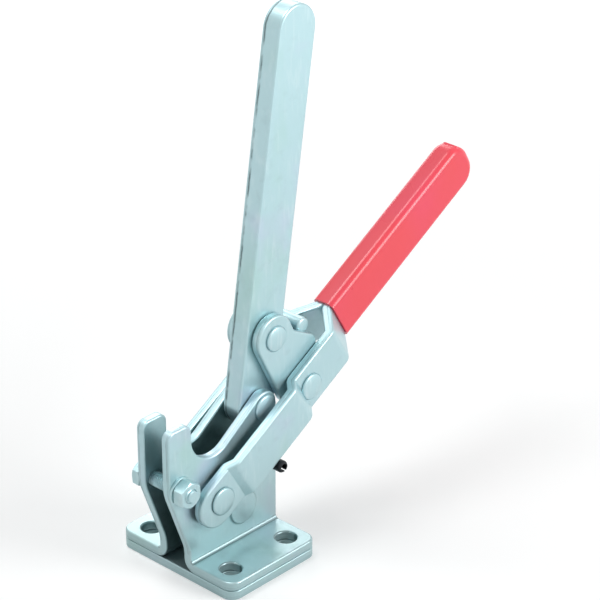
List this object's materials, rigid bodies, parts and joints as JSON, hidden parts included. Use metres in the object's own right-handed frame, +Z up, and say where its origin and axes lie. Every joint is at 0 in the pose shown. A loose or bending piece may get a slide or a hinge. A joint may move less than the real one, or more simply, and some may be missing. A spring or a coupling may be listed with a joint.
{
  "type": "toggle clamp",
  "caption": "Vertical-handle toggle clamp: a flat arm and a dipped-grip handle linked over a flanged base, shown fully open.",
  "frame": {"origin": "middle of the underside of the base plate", "axes": "+Z up; +X to the side that the open handle leans to, with the clamping side at -X; -Y is the near side"},
  "size_m": [0.1816, 0.0624, 0.2195],
  "materials": {
    "zinc": "zinc plated, satin",
    "black_oxide": "black oxide",
    "red_vinyl": "gloss"
  },
  "bodies": {
    "base": {"base_plate": "zinc", "near_side": "zinc", "far_side": "zinc", "handle_rivet": "zinc", "handle_bush": "zinc", "near_pivot_washer": "zinc", "far_pivot_washer": "zinc", "arm_rivet": "zinc", "spring_pin": "black_oxide", "horn_bolt": "zinc", "horn_washer": "zinc", "horn_nut": "zinc"},
    "handle": {"near_handle": "zinc", "far_handle": "zinc", "near_link_rivet": "zinc", "far_link_rivet": "zinc", "grip": "red_vinyl"},
    "arm": {"arm": "zinc"},
    "link": {"near_link": "zinc", "far_link": "zinc", "crank_rivet": "zinc", "link_spacer": "zinc", "stop_pin": "zinc"}
  },
  "joints": [
    {"name": "handle_pivot", "type": "hinge", "parent": "base", "child": "handle", "pos_m": [-0.0114, 0, 0.0333], "axis": [0, -1, 0], "range_deg": [0, 58.44]},
    {"name": "arm_pivot", "type": "hinge", "parent": "base", "child": "arm", "pos_m": [0.0179, 0, 0.0607], "axis": [0, -1, 0], "range_deg": [0, 99]},
    {"name": "crank_pivot", "type": "hinge", "parent": "arm", "child": "link", "pos_m": [0.02424, 0, 0.0886], "axis": [0, -1, 0], "range_deg": [0, 48.04]}
  ],
  "couplings": [
    {"joint": "arm_pivot", "follows": "handle_pivot", "ratio": 1.694},
    {"joint": "crank_pivot", "follows": "handle_pivot", "ratio": 0.82197}
  ]
}
